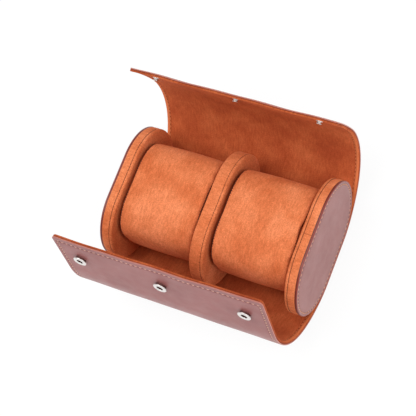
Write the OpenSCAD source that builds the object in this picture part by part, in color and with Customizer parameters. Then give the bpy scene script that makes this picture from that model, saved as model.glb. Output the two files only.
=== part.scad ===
// Double watch roll: a leather wrap on two stadium-shaped end caps, with a
// divider, two lift-out cushions and three snap fasteners.
// +X runs along the roll, +Y towards the lid flap and +Z out of the open side.
// The roll lies on its flat back, whose middle is the origin.

/* [Body] */
// Length of the roll over its two end caps
case_length = 160; // [150:1:180]
// Long side of the stadium-shaped end caps
body_depth = 102; // [96:1:110]
// Short side of the end caps, from back to front
body_height = 68; // [64:1:72]

/* [Wrap] */
// Thickness of the outer leather
leather_t = 0.8; // [0.6:0.1:1.2]
// Thickness of the suede lining with its padding
lining_t = 1.8; // [1.4:0.1:2.2]
// Thickness of the stiffener sheet inside the back panel
board_t = 1; // [0.6:0.1:1.2]
// How far the stiffener stops short of the back panel's ends
board_margin = 3; // [2:0.5:6]
// How far the wrap stops short of each end of the roll
wrap_inset = 0.5; // [0.3:0.1:1.5]
// Radius at which the back panel starts to curl, on the lining
root_radius = 50; // [46:1:60]
// Slit between two neighbouring strips of a flap
fold_gap = 0.24; // [0.2:0.02:0.4]

/* [Lid flap] */
// Angle of the curled edge that belongs to the back panel
lid_root_angle = 12; // [8:1:14]
// Angle that one bending strip turns through
lid_bend_angle = 22.4; // [20:0.2:24]
// Length of the last strip, which carries the studs
lid_tip_length = 38; // [34:1:42]
// Angle that the last strip turns through
lid_tip_angle = 8; // [5:1:15]
// Corner radius of the lid flap
lid_corner_r = 3; // [1.5:0.5:8]

/* [Front flap] */
// Angle of the curled edge that belongs to the back panel
front_root_angle = 15; // [10:1:18]
// Length of one bending strip
front_bend_length = 18.8; // [17:0.2:20]
// Angle that one bending strip turns through
front_bend_angle = 17.4; // [15:0.2:19]
// Length of the straight last strip, which carries the sockets
front_tip_length = 47.5; // [44:0.5:52]
// Corner radius of the front flap
front_corner_r = 3; // [1.5:0.5:8]

/* [End caps and divider] */
// Thickness of an end cap
cap_t = 10.5; // [8.5:0.5:13]
// Thickness of the leather face of an end cap
cap_face_t = 1.9; // [1.4:0.1:2.5]
// Distance from the inner side of a cap to its seam
cap_seam = 2.4; // [2:0.1:3]
// Thickness of the divider
divider_t = 11.4; // [9:0.2:14]
// Distance from the right side of the divider to its seam
divider_seam = 2.1; // [1.8:0.1:3]
// Thickness of the suede on the caps and the divider
suede_t = 1.2; // [0.8:0.1:1.5]
// Rounding of the suede rims
rim_r = 1.7; // [1.2:0.1:1.8]
// Rounding of the edges that meet in a seam
seam_r = 0.45; // [0.2:0.05:0.8]
// Rounding of the outer edge of the leather faces
face_r = 0.7; // [0.3:0.1:1]

/* [Cushions] */
// Size of a cushion across the roll
cushion_depth = 77; // [72:0.5:80]
// Thickness of a cushion, from its back to its front
cushion_height = 59; // [54:0.5:60]
// Gap between a cushion's end and its neighbours
cushion_gap = 0.8; // [0.5:0.1:1.5]
// How far the front of a cushion lies below the rims of the caps
cushion_sink = 0.6; // [0:0.1:3]
// Squareness of the cushion's section: 2 is an ellipse
cushion_exponent = 2.9; // [2.2:0.1:4]
// Rounding of the cushion's end edges
cushion_edge_r = 4.5; // [3:0.5:6]
// How much narrower the cushion is at its ends than at its middle
cushion_crown = 1.1; // [0.4:0.1:2]
// How far the end panels bulge out
cushion_dome = 1.1; // [0.4:0.1:2]
// Padding between the cushion's cover and its foam block
padding_t = 5; // [3.5:0.5:7]

/* [Snap fasteners] */
// Number of snap fasteners
snap_count = 3; // [2:1:3]
// Distance between two snaps
snap_pitch = 64; // [56:1:66]
// Distance from the front flap's edge to its sockets
socket_from_edge = 24.2; // [20:0.2:28]
// Distance from the lid flap's edge to its studs
stud_from_edge = 13.6; // [10:0.2:18]
// Length by which the closed wrap goes round the caps loosely
closing_slack = 15.6; // [14:0.2:17]
// Gap between lid and front flap at the snaps when closed
snap_standoff = 2.8; // [2.7:0.05:3.2]
// Diameter of a socket's plate
socket_d = 10; // [9:0.5:12]
// Thickness of a socket's plate
socket_plate_t = 1; // [0.8:0.1:1.3]
// Diameter of a socket's neck
socket_neck_d = 6; // [5.6:0.2:7]
// Diameter of the hole in a socket
socket_hole_d = 4.3; // [4:0.1:4.6]
// Gap between a stud and the socket's hole, all round
snap_clearance = 0.2; // [0.15:0.05:0.3]
// Gap between a closed lid and the sockets' plates
closed_gap = 0.3; // [0.2:0.05:0.5]
// Thickness of a socket's floor, under its hole
socket_floor_t = 0.4; // [0.3:0.05:0.6]
// Gap between a stud's tip and the socket's floor
tip_clearance = 0.2; // [0.15:0.05:0.3]
// Rounding of the plates and studs
snap_r = 0.35; // [0.2:0.05:0.4]
// Diameter of the plates hidden between leather and lining
plate_d = 9; // [8:0.5:11]
// Thickness of the hidden plates
plate_t = 0.5; // [0.4:0.1:0.7]
// Lining left between the leather and the studs' hidden plates
plate_cover = 0.4; // [0.2:0.1:0.6]
// Diameter of the posts on the hidden plates
post_d = 2.4; // [2:0.1:2.6]

/* [Hidden] */
$fn = 96;
wrap_fn = 360;
rim_fn = 48;
// How far a cutting shape runs past what it cuts
cut = 1;
// Extra radius of the flaps' corner cuts, so that they meet the edges at an angle
corner_run = 0.05;

wrap_t = leather_t + lining_t;
wrap_length = case_length - 2 * wrap_inset;
// The flat part of the back is as long as the straight side of a cap
flat_half = (body_depth - body_height) / 2;
mid_z = wrap_t + body_height / 2;
slot_length = (case_length - 2 * cap_t - divider_t) / 2;
slot_x = (divider_t + slot_length) / 2;

// Number of bending strips in each flap
lid_bends = 4;
front_bends = 5;

// Closed round the caps, the wrap meets at its snaps. The length along the
// lining from the flat back to the front flap's sockets, what that leaves for
// the lid, and so the length of the lid's bending strips
arc_unit = PI / 180;
front_path = front_bends * front_bend_length + front_tip_length + root_radius * front_root_angle * arc_unit;
socket_path = front_path - socket_from_edge;
closed_path = PI * body_height + 2 * flat_half + closing_slack;
lid_path = closed_path - socket_path + stud_from_edge;
lid_root_length = root_radius * lid_root_angle * arc_unit;
lid_bend_length = (lid_path - lid_root_length - lid_tip_length) / lid_bends;
stud_on_tip = lid_tip_length - stud_from_edge;
socket_on_tip = front_tip_length - socket_from_edge;

// A strip is [length, turn] along the lining
lid_strips = [for (i = [1:lid_bends]) [lid_bend_length, lid_bend_angle], [lid_tip_length, lid_tip_angle]];
front_strips = [for (i = [1:front_bends]) [front_bend_length, front_bend_angle], [front_tip_length, 0]];
lid_tip = len(lid_strips) - 1;
front_tip = len(front_strips) - 1;

stud_d = socket_hole_d - 2 * snap_clearance;
socket_height = snap_standoff - closed_gap;
stud_height = snap_standoff - socket_floor_t - tip_clearance;

leather_colour = "#9c7069";
suede_colour = "#c4683a";
foam_colour = "#e8dcc0";
board_colour = "#8a7a66";
metal_colour = "silver";

// ---------------------------------------------------------------- flap path

// Length of the chord of an arc of the given length and turn
function chord(length, turn) =
    turn == 0 ? length : 2 * length / (turn * arc_unit) * sin(turn / 2);

// Start of strip i as [y, z, heading], for a flap that leaves the back panel
// towards +Y after a curled edge of the given angle
function strip_start(strips, root_angle, i) =
    i == 0
        ? [flat_half + root_radius * sin(root_angle), wrap_t + root_radius * (1 - cos(root_angle)), root_angle]
        : let (
            before = strip_start(strips, root_angle, i - 1),
            step = strips[i - 1],
            heading = before[2] + step[1] / 2,
            reach = chord(step[0], step[1])
        )
        [before[0] + reach * cos(heading), before[1] + reach * sin(heading), before[2] + step[1]];

// Puts its children on a flap: y along the strip from its start, z inwards
module on_strip(strips, root_angle, i) {
    start = strip_start(strips, root_angle, i);
    translate([0, start[0], start[1]])
        rotate([start[2], 0, 0])
            children();
}

// Puts its children at a distance along a strip, with z along the lining's
// normal there
module along_strip(strip, distance) {
    turn = strip[1] * distance / strip[0];
    reach = chord(distance, turn);
    translate([0, reach * cos(turn / 2), reach * sin(turn / 2)])
        rotate([turn, 0, 0])
            children();
}

module lid_side(i) {
    on_strip(lid_strips, lid_root_angle, i)
        children();
}

module front_side(i) {
    mirror([0, 1, 0])
        on_strip(front_strips, front_root_angle, i)
            children();
}

// A layer of the wrap between two depths below the lining's surface
module layer(length, turn, depth_from, depth_to, width) {
    slit = fold_gap / 2;
    if (turn == 0)
        translate([-width / 2, slit, -depth_to])
            cube([width, length - slit, depth_to - depth_from]);
    else {
        radius = length / (turn * arc_unit);
        slit_turn = slit / radius / arc_unit;
        translate([0, 0, radius])
            rotate([0, 90, 0])
                rotate([0, 0, slit_turn])
                    rotate_extrude(angle = turn - 2 * slit_turn, $fn = wrap_fn)
                        translate([radius + depth_from, -width / 2])
                            square([depth_to - depth_from, width]);
    }
}

// Takes a rounded corner off each end of a flap's free edge, which lies at y = 0
module corner_cutters(radius, width) {
    margin = radius;
    depth = 4 * wrap_t;
    for (side = [-1, 1])
        translate([side * (width / 2 - radius), -radius, -depth / 2])
            difference() {
                translate([side < 0 ? -radius - margin : 0, 0, 0])
                    cube([radius + margin, radius + margin, depth]);
                translate([0, 0, -depth / 2])
                    cylinder(r = radius + corner_run, h = 2 * depth);
            }
}

// Children repeated at each snap
module at_snaps() {
    for (i = [0:snap_count - 1])
        translate([(i - (snap_count - 1) / 2) * snap_pitch, 0, 0])
            children();
}

// The studs' hidden plates with their posts, which stand up by the given
// height over the lining's surface, at z = 0
module stud_plates(post_height) {
    at_snaps()
        translate([0, 0, plate_cover - lining_t]) {
            cylinder(d = plate_d, h = plate_t);
            cylinder(d = post_d, h = lining_t - plate_cover + post_height);
        }
}

// -------------------------------------------------------------- back panel

// One layer of the back panel: the flat part and its two curled edges
module back_layer(depth_from, depth_to) {
    translate([-wrap_length / 2, -flat_half, wrap_t - depth_to])
        cube([wrap_length, 2 * flat_half, depth_to - depth_from]);
    back_edge(lid_root_angle, depth_from, depth_to);
    mirror([0, 1, 0])
        back_edge(front_root_angle, depth_from, depth_to);
}

module back_edge(angle, depth_from, depth_to) {
    slit_turn = fold_gap / 2 / root_radius / arc_unit;
    translate([0, flat_half, wrap_t + root_radius])
        rotate([0, 90, 0])
            rotate_extrude(angle = angle - slit_turn, $fn = wrap_fn)
                translate([root_radius + depth_from, -wrap_length / 2])
                    square([depth_to - depth_from, wrap_length]);
}

module back_leather() {
    color(leather_colour)
        back_layer(lining_t, wrap_t);
}

module board_shape() {
    length = wrap_length - 2 * board_margin;
    width = 2 * flat_half - board_margin;
    translate([-length / 2, -width / 2, leather_t])
        cube([length, width, board_t]);
}

module back_board() {
    color(board_colour)
        board_shape();
}

module back_lining() {
    color(suede_colour)
        difference() {
            back_layer(0, lining_t);
            board_shape();
        }
}

// ------------------------------------------------------------------- flaps

module lid_leather(i) {
    strip = lid_strips[i];
    color(leather_colour)
        lid_side(i)
            difference() {
                layer(strip[0], strip[1], lining_t, wrap_t, wrap_length);
                if (i == lid_tip)
                    along_strip(strip, strip[0])
                        corner_cutters(lid_corner_r, wrap_length);
            }
}

module lid_lining(i) {
    strip = lid_strips[i];
    color(suede_colour)
        lid_side(i)
            difference() {
                layer(strip[0], strip[1], 0, lining_t, wrap_length);
                if (i == lid_tip) {
                    along_strip(strip, strip[0])
                        corner_cutters(lid_corner_r, wrap_length);
                    along_strip(strip, stud_on_tip)
                        stud_plates(stud_height);
                }
            }
}

module front_leather(i) {
    strip = front_strips[i];
    color(leather_colour)
        front_side(i)
            difference() {
                layer(strip[0], strip[1], lining_t, wrap_t, wrap_length);
                if (i == front_tip) {
                    along_strip(strip, strip[0])
                        corner_cutters(front_corner_r, wrap_length);
                    along_strip(strip, socket_on_tip)
                        at_snaps()
                            translate([0, 0, -wrap_t - cut])
                                cylinder(d = post_d, h = wrap_t + 2 * cut);
                }
            }
}

module front_lining(i) {
    strip = front_strips[i];
    color(suede_colour)
        front_side(i)
            difference() {
                layer(strip[0], strip[1], 0, lining_t, wrap_length);
                if (i == front_tip) {
                    along_strip(strip, strip[0])
                        corner_cutters(front_corner_r, wrap_length);
                    along_strip(strip, socket_on_tip)
                        translate([0, 0, -lining_t])
                            at_snaps()
                                cylinder(d = plate_d, h = plate_t);
                }
            }
}

// -------------------------------------------------- end caps and divider

// Half section of a disc with rounded rims: x is the radius, y the thickness
module rim_section(radius, thickness, round_low, round_high) {
    difference() {
        square([radius, thickness]);
        rim_corner(radius, 0, round_low, 1);
        rim_corner(radius, thickness, round_high, -1);
    }
}

module rim_corner(radius, level, rounding, up) {
    if (rounding > 0)
        difference() {
            translate([radius - rounding, up > 0 ? level : level - rounding])
                square([rounding + cut, rounding]);
            translate([radius - rounding, level + up * rounding])
                circle(r = rounding, $fn = rim_fn);
        }
}

// A stadium-shaped slab from x = 0 to its thickness, with rounded rims
module stadium_slab(inset, thickness, round_low, round_high) {
    radius = body_height / 2 - inset;
    translate([0, 0, mid_z])
        rotate([90, 0, 90]) {
            for (side = [0, 1])
                mirror([side, 0, 0])
                    translate([flat_half, 0, 0])
                        rotate([0, 0, -90])
                            rotate_extrude(angle = 180)
                                rim_section(radius, thickness, round_low, round_high);
            translate([-flat_half, 0, 0])
                rotate([90, 0, 90])
                    linear_extrude(2 * flat_half)
                        for (side = [0, 1])
                            mirror([side, 0, 0])
                                rim_section(radius, thickness, round_low, round_high);
        }
}

// The pieces of a cap are drawn for the left end, from its outer face inwards
module at_end(side) {
    mirror([side > 0 ? 1 : 0, 0, 0])
        translate([-case_length / 2, 0, 0])
            children();
}

module end_face(side) {
    color(leather_colour)
        at_end(side)
            stadium_slab(0, cap_face_t, face_r, 0);
}

module end_core(side) {
    color(board_colour)
        at_end(side)
            translate([cap_face_t, 0, 0])
                stadium_slab(suede_t, cap_t - cap_face_t - suede_t, 0, rim_r - suede_t / 2);
}

module end_band(side) {
    width = cap_t - cap_face_t - cap_seam;
    color(suede_colour)
        at_end(side)
            difference() {
                translate([cap_face_t, 0, 0])
                    stadium_slab(0, width, 0, seam_r);
                translate([cap_face_t - cut, 0, 0])
                    stadium_slab(suede_t, width + 2 * cut, 0, 0);
            }
}

module end_lining(side) {
    color(suede_colour)
        at_end(side)
            difference() {
                translate([cap_t - cap_seam, 0, 0])
                    stadium_slab(0, cap_seam, seam_r, rim_r);
                translate([cap_face_t, 0, 0])
                    stadium_slab(suede_t, cap_t - cap_face_t - suede_t, 0, rim_r - suede_t / 2);
            }
}

module divider_core_shape() {
    thickness = divider_t - 2 * suede_t;
    rounding = rim_r - suede_t / 2;
    translate([-thickness / 2, 0, 0])
        stadium_slab(suede_t, thickness, rounding, rounding);
}

module divider_core() {
    color(board_colour)
        divider_core_shape();
}

module divider_cover() {
    color(suede_colour)
        difference() {
            translate([-divider_t / 2, 0, 0])
                stadium_slab(0, divider_t - divider_seam, rim_r, seam_r);
            divider_core_shape();
        }
}

module divider_panel() {
    color(suede_colour)
        difference() {
            translate([divider_t / 2 - divider_seam, 0, 0])
                stadium_slab(0, divider_seam, seam_r, rim_r);
            divider_core_shape();
        }
}

// ---------------------------------------------------------------- cushions

cushion_length = slot_length - 2 * cushion_gap;
cushion_z = mid_z + body_height / 2 - cushion_sink - cushion_height / 2;
cushion_around = 48;
edge_steps = 4;
crown_steps = 6;
foam_sides = 24;
// Rings of the bulged end panel, as shares of the way from its middle
dome_rings = [0.35, 0.6];

// A point of the cushion's section, drawn in by an inset, at an angle
function section_point(inset, angle) =
    let (
        power = 2 / cushion_exponent,
        across = cushion_depth / 2 - inset,
        up = cushion_height / 2 - inset
    )
    [
        across * sign(cos(angle)) * pow(abs(cos(angle)), power),
        up * sign(sin(angle)) * pow(abs(sin(angle)), power)
    ];

// Half of the cushion's outline from its end panel to its middle, as
// [distance from the middle, inset]
panel_half = cushion_length / 2 - cushion_dome;
panel_inset = cushion_height / 2;
cushion_half_outline = [
    for (share = dome_rings)
        [
            panel_half + cushion_dome * (1 - pow(share, 2)),
            panel_inset - share * (panel_inset - cushion_edge_r - cushion_crown)
        ],
    for (i = [0:edge_steps])
        [
            panel_half - cushion_edge_r * (1 - cos(90 * i / edge_steps)),
            cushion_crown + cushion_edge_r * (1 - sin(90 * i / edge_steps))
        ],
    for (i = [1:crown_steps - 1])
        let (share = 1 - i / crown_steps)
        [share * (panel_half - cushion_edge_r), cushion_crown * pow(share, 2)]
];

cushion_outline = concat(
    cushion_half_outline,
    [[0, 0]],
    [for (i = [len(cushion_half_outline) - 1:-1:0]) [-cushion_half_outline[i][0], cushion_half_outline[i][1]]]
);

// The crowned cushion: rings of the section, closed by a point on each end
module cushion_form() {
    rings = len(cushion_outline);
    around = cushion_around;
    points = [
        for (ring = cushion_outline, k = [0:around - 1])
            let (p = section_point(ring[1], 360 * (k + 0.5) / around))
            [ring[0], p[0], p[1]],
        [cushion_length / 2, 0, 0],
        [-cushion_length / 2, 0, 0]
    ];
    sides = [
        for (j = [0:rings - 2], k = [0:around - 1])
            let (next = (k + 1) % around, a = j * around, b = (j + 1) * around)
            each [[a + k, b + k, a + next], [a + next, b + k, b + next]]
    ];
    last = (rings - 1) * around;
    right_end = [for (k = [0:around - 1]) [rings * around, k, (k + 1) % around]];
    left_end = [for (k = [0:around - 1]) [rings * around + 1, last + (k + 1) % around, last + k]];
    polyhedron(points = points, faces = concat(sides, right_end, left_end));
}

module foam_form() {
    inset = padding_t + cushion_crown;
    length = cushion_length - 2 * padding_t;
    rotate([90, 0, 90])
        translate([0, 0, -length / 2])
            linear_extrude(length)
                polygon([for (k = [0:foam_sides - 1]) section_point(inset, 360 * k / foam_sides)]);
}

module at_slot(side) {
    translate([side * slot_x, 0, cushion_z])
        children();
}

module cushion_cover(side) {
    color(suede_colour)
        at_slot(side)
            difference() {
                cushion_form();
                foam_form();
            }
}

module cushion_foam(side) {
    color(foam_colour)
        at_slot(side)
            foam_form();
}

// ------------------------------------------------------------------- snaps

// A disc from z = 0 upwards with both of its rims rounded
module rounded_disc(diameter, thickness, rounding) {
    rotate_extrude()
        rim_section(diameter / 2, thickness, rounding, rounding);
}

// The sockets stand on the leather of the front flap, plate uppermost
module snap_sockets() {
    neck_height = socket_height - socket_plate_t;
    color(metal_colour)
        front_side(front_tip)
            along_strip(front_strips[front_tip], socket_on_tip)
                at_snaps()
                    translate([0, 0, -wrap_t])
                        mirror([0, 0, 1])
                            difference() {
                                union() {
                                    cylinder(d = socket_neck_d, h = neck_height + socket_plate_t / 2);
                                    translate([0, 0, neck_height])
                                        rounded_disc(socket_d, socket_plate_t, snap_r);
                                }
                                translate([0, 0, socket_floor_t])
                                    cylinder(d = socket_hole_d, h = socket_height);
                                translate([0, 0, -cut])
                                    cylinder(d = post_d, h = socket_floor_t + 2 * cut);
                            }
}

// Hidden plates of the sockets, with posts through the leather
module socket_rivets() {
    color(metal_colour)
        front_side(front_tip)
            along_strip(front_strips[front_tip], socket_on_tip)
                at_snaps()
                    translate([0, 0, -lining_t])
                        mirror([0, 0, 1]) {
                            translate([0, 0, -plate_t])
                                cylinder(d = plate_d, h = plate_t);
                            cylinder(d = post_d, h = leather_t + socket_floor_t);
                        }
}

// The studs stand on the suede of the lid flap
module snap_studs() {
    color(metal_colour)
        lid_side(lid_tip)
            along_strip(lid_strips[lid_tip], stud_on_tip)
                at_snaps()
                    difference() {
                        rounded_disc(stud_d, stud_height, snap_r);
                        translate([0, 0, -cut])
                            cylinder(d = post_d, h = cut + stud_height / 2);
                    }
}

// Hidden plates of the studs, with posts through the lining
module stud_rivets() {
    color(metal_colour)
        lid_side(lid_tip)
            along_strip(lid_strips[lid_tip], stud_on_tip)
                stud_plates(stud_height / 2);
}

// -------------------------------------------------------------- the pieces

back_leather();
back_board();
back_lining();
end_face(-1);  // end_face_left
end_face(1);  // end_face_right
end_core(-1);  // end_core_left
end_core(1);  // end_core_right
end_band(-1);  // end_band_left
end_band(1);  // end_band_right
end_lining(-1);  // end_lining_left
end_lining(1);  // end_lining_right
divider_core();
divider_cover();
divider_panel();
lid_leather(0);  // lid_leather_1
lid_leather(1);  // lid_leather_2
lid_leather(2);  // lid_leather_3
lid_leather(3);  // lid_leather_4
lid_leather(4);  // lid_leather_5
lid_lining(0);  // lid_lining_1
lid_lining(1);  // lid_lining_2
lid_lining(2);  // lid_lining_3
lid_lining(3);  // lid_lining_4
lid_lining(4);  // lid_lining_5
front_leather(0);  // front_leather_1
front_leather(1);  // front_leather_2
front_leather(2);  // front_leather_3
front_leather(3);  // front_leather_4
front_leather(4);  // front_leather_5
front_leather(5);  // front_leather_6
front_lining(0);  // front_lining_1
front_lining(1);  // front_lining_2
front_lining(2);  // front_lining_3
front_lining(3);  // front_lining_4
front_lining(4);  // front_lining_5
front_lining(5);  // front_lining_6
snap_sockets();
socket_rivets();
snap_studs();
stud_rivets();
cushion_cover(-1);  // cushion_cover_left
cushion_cover(1);  // cushion_cover_right
cushion_foam(-1);  // cushion_foam_left
cushion_foam(1);  // cushion_foam_right
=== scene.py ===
"""A two-watch travel roll, open on its back: leather wrap, suede lining, two lift-out cushions and snaps.

Everything is in metres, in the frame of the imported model: +X along the roll, +Y towards the lid flap,
+Z out of the open side, with the origin in the middle of the flat back's outer face.
"""

import math

import bpy
import numpy as np
from mathutils import Matrix, Vector
from mathutils.bvhtree import BVHTree


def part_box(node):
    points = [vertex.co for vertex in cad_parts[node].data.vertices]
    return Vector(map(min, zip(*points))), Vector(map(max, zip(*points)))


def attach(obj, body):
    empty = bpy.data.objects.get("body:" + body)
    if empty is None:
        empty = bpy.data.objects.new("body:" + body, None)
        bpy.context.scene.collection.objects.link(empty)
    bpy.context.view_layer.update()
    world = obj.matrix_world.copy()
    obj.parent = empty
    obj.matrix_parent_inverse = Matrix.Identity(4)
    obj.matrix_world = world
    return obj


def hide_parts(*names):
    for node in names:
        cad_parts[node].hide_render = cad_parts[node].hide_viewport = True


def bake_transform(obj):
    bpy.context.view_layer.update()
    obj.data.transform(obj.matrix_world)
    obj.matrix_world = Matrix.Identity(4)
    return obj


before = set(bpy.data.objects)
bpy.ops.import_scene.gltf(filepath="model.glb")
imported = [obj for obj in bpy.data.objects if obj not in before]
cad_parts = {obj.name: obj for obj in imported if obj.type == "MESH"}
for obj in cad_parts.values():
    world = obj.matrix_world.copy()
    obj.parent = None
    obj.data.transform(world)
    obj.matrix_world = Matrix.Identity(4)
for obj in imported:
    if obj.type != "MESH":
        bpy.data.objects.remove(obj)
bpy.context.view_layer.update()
MM = 0.001

# ---- sizes

# The wrap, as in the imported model
LEATHER_T = 0.8 * MM
LINING_T = 1.8 * MM
WRAP_T = LEATHER_T + LINING_T
WRAP_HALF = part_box("back_leather")[1].x
FLAT_HALF = 17 * MM
ROOT_RADIUS = 50 * MM
FREE_CORNER = 3 * MM
RIPPLE = 0.16 * MM
# Each layer's (top, bottom), how far it is cut back from the wrap's edge, and the rounding of its cut sides
LEATHER_LAYER = ((LINING_T, WRAP_T), 0.0, 0.3 * MM)
LINING_LAYER = ((0.0, LINING_T), 0.15 * MM, 0.6 * MM)
# How far past its last fold a flap goes on bending
LAST_BEND = 11 * MM

# The end caps and the divider
CAP_RADIUS = (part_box("end_face_right")[1].z - WRAP_T) / 2
MID_Z = WRAP_T + CAP_RADIUS

# Kinds of stitch: the pitch, the (length, width, height) of one, and how many degrees askew it lies
ROW_STITCH = (3.6 * MM, (2.4 * MM, 0.75 * MM, 0.38 * MM), 7)
SEAM_STITCH = (2.4 * MM, (1.5 * MM, 0.42 * MM, 0.26 * MM), 62)
JOINT_STITCH = (1.4 * MM, (1.7 * MM, 0.5 * MM, 0.25 * MM), 4)
RIM_STITCH = (2.0 * MM, (2.6 * MM, 0.7 * MM, 0.4 * MM), 62)
# How far in from the wrap's sides, its free edges and a cap's edge the rows lie
SIDE_INSET = 3.0 * MM
EDGE_INSET = 5.2 * MM
CAP_STITCH_INSET = 2.5 * MM
# The thread pulls the leather and the lining in along its row
ROW_PRESS = 0.3 * MM
ROW_WIDTH = 0.55 * MM

# Snaps
SNAP_PLACES = (-64 * MM, 0.0, 64 * MM)
SOCKET_FROM_EDGE = 24.2 * MM
STUD_FROM_EDGE = 13.6 * MM


# ---- meshes


def link_object(name, data):
    obj = bpy.data.objects.new(name, data)
    bpy.context.scene.collection.objects.link(obj)
    return obj


def new_object(name, vertices, faces, material, uv=None, marks=None, smooth_angle=35):
    """An object from vertices and faces, smooth but for edges over smooth_angle degrees. uv is one pair a
    vertex, and marks are lists of one number a vertex: "edge_tint" for a paler margin, the cap's dark edge
    coat and the wrap's pale cut edge, which is partly painted highlight, and "furrow_and_painted_shade" for
    painted shade in the thread's groove, on cut sides and at free ends."""
    mesh = bpy.data.meshes.new(name)
    mesh.from_pydata([tuple(v) for v in vertices], [], [tuple(f) for f in faces])
    if uv is not None:
        layer = mesh.uv_layers.new(name="flat")
        loop_vertex = np.zeros(len(mesh.loops), int)
        mesh.loops.foreach_get("vertex_index", loop_vertex)
        layer.data.foreach_set("uv", np.asarray(uv, float)[loop_vertex].ravel())
    for mark, values in (marks or {}).items():
        mesh.attributes.new(mark, "FLOAT", "POINT").data.foreach_set("value", np.asarray(values, float))
    mesh.materials.append(material)
    mesh.shade_smooth()
    mesh.set_sharp_from_angle(angle=math.radians(smooth_angle))
    mesh.update()
    return link_object(name, mesh)


def loft(rings, closed=False):
    """Vertices and faces of a form from rings of equally many points, which turn anticlockwise as seen from
    the last one. It has a flat face on each end or, closed, its last ring joins its first."""
    around = len(rings[0])
    vertices = [p for ring in rings for p in ring]
    starts = [j * around for j in range(len(rings))]
    faces = []
    for a, b in zip(starts, starts[1:] + ([0] if closed else [])):
        faces += [(a + k, a + (k + 1) % around, b + (k + 1) % around, b + k) for k in range(around)]
    if not closed:
        faces += [tuple(range(around))[::-1], tuple(range(starts[-1], len(vertices)))]
    return vertices, faces


def full_turn(count):
    """Evenly spaced angles round a circle."""
    return np.linspace(0, 2 * math.pi, count, endpoint=False)


def arc(centre, radius, start, end, steps):
    """Points on an arc in a plane, angles in degrees."""
    angles = np.radians(np.linspace(start, end, steps + 1))
    return [(centre[0] + radius * math.cos(a), centre[1] + radius * math.sin(a)) for a in angles]


def gather(parts):
    """Vertices and faces of several (vertices, faces) pairs as one."""
    vertices, faces = [], []
    for points, polygons in parts:
        first = len(vertices)
        vertices += points
        faces += [tuple(first + k for k in f) for f in polygons]
    return vertices, faces


def join(name, parts, material):
    """One object from several (vertices, faces) pairs."""
    return new_object(name, *gather(parts), material, smooth_angle=60)


def running_length(points):
    """The length of a path of points up to each of them."""
    return np.r_[0, np.cumsum(np.linalg.norm(np.diff(points, axis=0), axis=1))]


def smooth_step(value, low, high):
    """0 below low, 1 above high and a soft step between."""
    t = min(max((value - low) / (high - low), 0.0), 1.0)
    return t * t * (3 - 2 * t)


# ---- materials


class Nodes:
    """The nodes of a material, or of what else is given as owner, under construction."""

    def __init__(self, name, owner=None, shader="Principled BSDF"):
        self.material = owner or bpy.data.materials.new(name)
        self.material.use_nodes = True
        self.tree = self.material.node_tree
        self.shader = self.tree.nodes[shader]

    def add(self, kind, inputs=None, **settings):
        """A node with its settings, and its inputs linked or set."""
        node = self.tree.nodes.new(kind)
        for key, value in settings.items():
            setattr(node, key, value)
        for key, value in (inputs or {}).items():
            socket = node.inputs[key]
            if isinstance(value, bpy.types.NodeSocket):
                self.tree.links.new(value, socket)
            else:
                socket.default_value = value
        return node

    def set(self, **values):
        """Sets values on the shader's own sockets."""
        for key, value in values.items():
            self.shader.inputs[key.replace("_", " ")].default_value = value

    def link(self, output, name):
        self.tree.links.new(output, self.shader.inputs[name])

    def coordinates(self, uv, stretch=(1, 1, 1), turn=0.0):
        """Where a pattern lies: on the wrap's flat coordinates or the object's own, stretched and turned."""
        if uv:
            where = self.add("ShaderNodeUVMap", uv_map="flat").outputs["UV"]
        else:
            where = self.add("ShaderNodeTexCoord").outputs["Object"]
        if stretch == (1, 1, 1):
            return where
        mapping = dict(Vector=where, Rotation=(turn, turn, turn), Scale=stretch)
        return self.add("ShaderNodeMapping", mapping).outputs["Vector"]

    def noise(self, where, scale, detail=3.0, roughness=0.5, distortion=0.0):
        inputs = dict(Vector=where, Scale=scale, Detail=detail, Roughness=roughness, Distortion=distortion)
        return self.add("ShaderNodeTexNoise", inputs).outputs["Fac"]

    def mark(self, name, strength):
        """A number that the mesh carries at each vertex, times strength."""
        value = self.add("ShaderNodeAttribute", attribute_name=name).outputs["Fac"]
        return self.add("ShaderNodeMath", {0: value, 1: strength}, operation="MULTIPLY").outputs[0]

    def ramp(self, factor, stops):
        """A colour ramp from stops of (place, colour)."""
        node = self.add("ShaderNodeValToRGB", {"Fac": factor})
        ramp = node.color_ramp
        while len(ramp.elements) < len(stops):
            ramp.elements.new(0.5)
        for element, (place, colour) in zip(ramp.elements, stops):
            element.position = place
            element.color = colour
        return node.outputs["Color"]

    def mix(self, factor, a, b, blend="MIX"):
        """Two colours mixed; 6, 7 and 2 are the numbers of the node's colour sockets."""
        inputs = {0: factor, 6: a, 7: b}
        return self.add("ShaderNodeMix", inputs, data_type="RGBA", blend_type=blend).outputs[2]

    def bump(self, height, strength, distance, **normal):
        inputs = dict(Height=height, Strength=strength, Distance=distance, **normal)
        return self.add("ShaderNodeBump", inputs).outputs["Normal"]


def colour(red, green, blue):
    """A colour given as it shows on screen, 0 to 255, as the linear values that the shader takes."""
    shown = [c / 255 for c in (red, green, blue)]
    return (*[((c + 0.055) / 1.055) ** 2.4 if c > 0.04 else c / 12.92 for c in shown], 1.0)


def grey(value):
    return (value, value, value, 1.0)


def shade(base, factor):
    """The colour made lighter or darker."""
    return tuple(min(1.0, c * factor) for c in base[:3]) + (1.0,)


# What painted shade multiplies the colour by, in the thread's groove, on a cut side and at a free end
PAINTED_SHADE_TINT = (0.42, 0.36, 0.34, 1)
PAINTED_SHADE_STRENGTH = 0.8


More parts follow.
